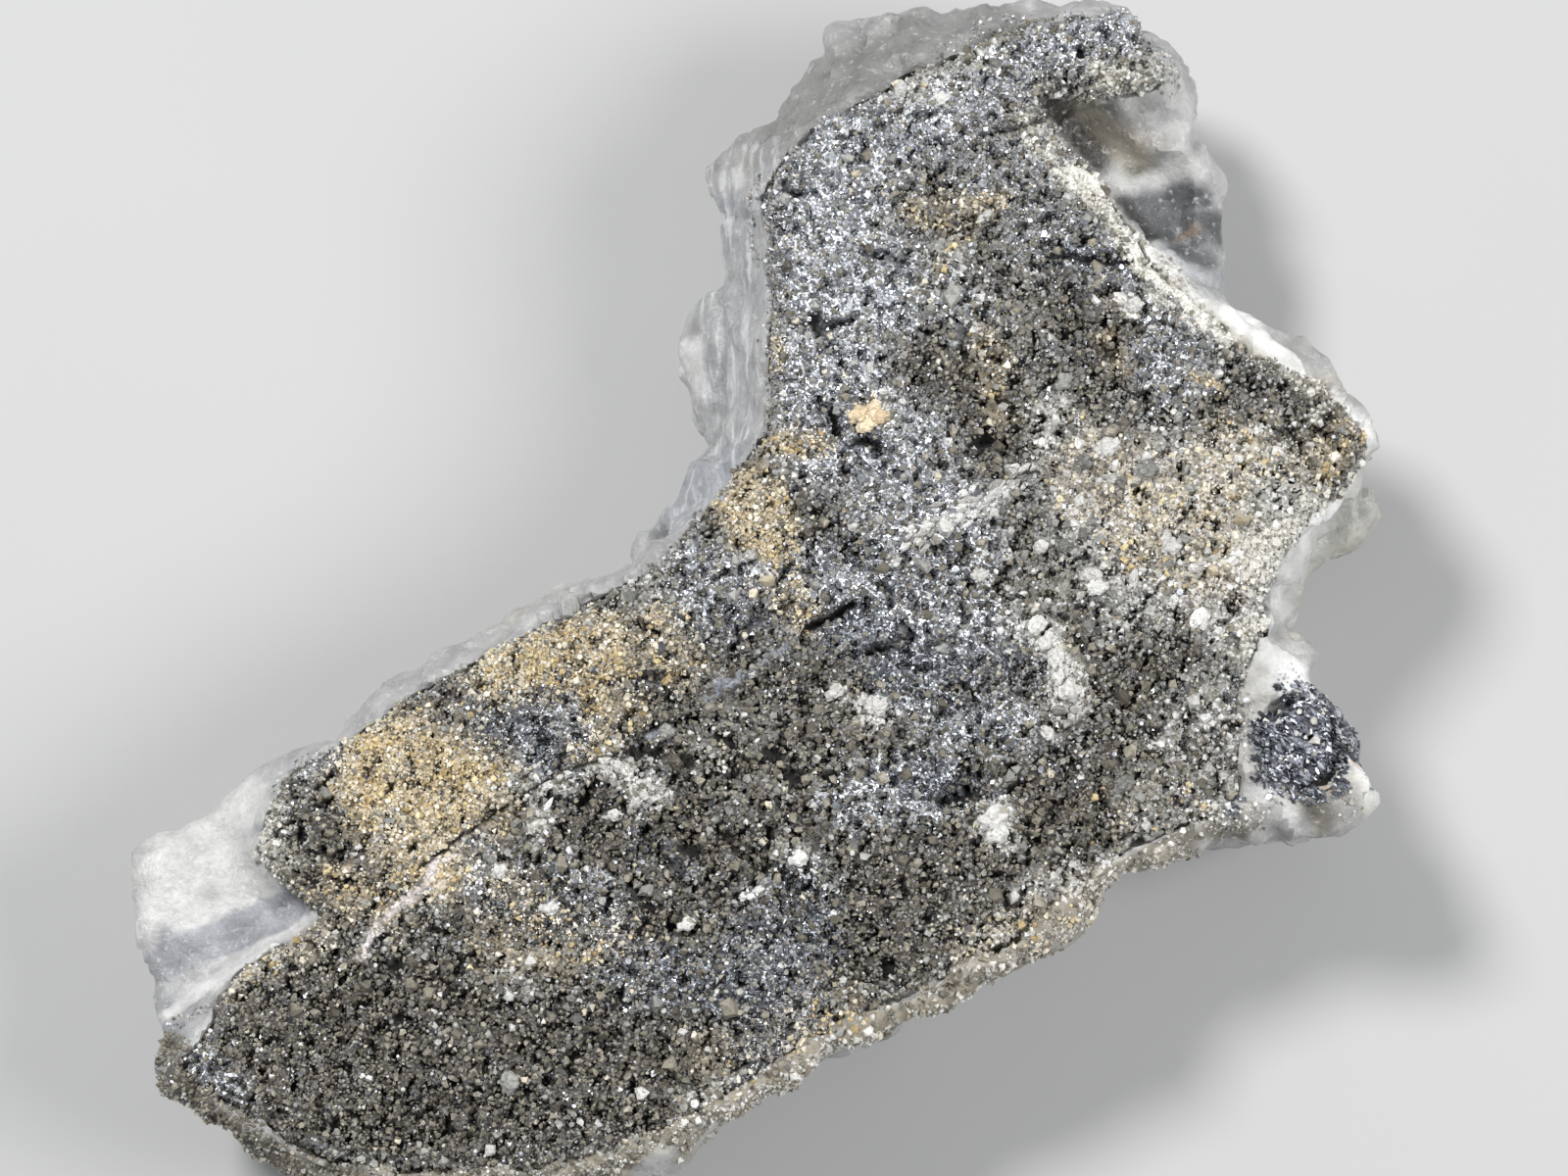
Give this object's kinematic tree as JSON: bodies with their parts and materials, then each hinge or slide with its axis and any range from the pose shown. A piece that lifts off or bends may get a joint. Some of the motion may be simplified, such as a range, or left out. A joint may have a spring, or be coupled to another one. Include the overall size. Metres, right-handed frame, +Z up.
{
  "type": "polybasite crystal specimen",
  "caption": "Boot-shaped slab of milky vein quartz with a dark granular polybasite crust over its upper face and a small second patch on one corner.",
  "frame": {"origin": "middle of the bounding box, on the plane that the slab lies on", "axes": "+X along the longest extent, towards the pointed right corner, +Y towards the rounded top of the boot's leg, +Z up, out of the crust face"},
  "size_m": [0.0646, 0.0642, 0.0162],
  "materials": {
    "milky_quartz": "milky white and pale grey broken quartz, faintly translucent, waxy to glassy",
    "polybasite_crust": "granular crust of dark metallic plates with quartz grains and tan iron stain",
    "polybasite_plates": "blue-black metallic plates"
  },
  "bodies": {
    "root": {"quartz_matrix": "milky_quartz", "polybasite_crust": "polybasite_crust", "corner_polybasite_patch": "polybasite_plates"}
  },
  "joints": []
}
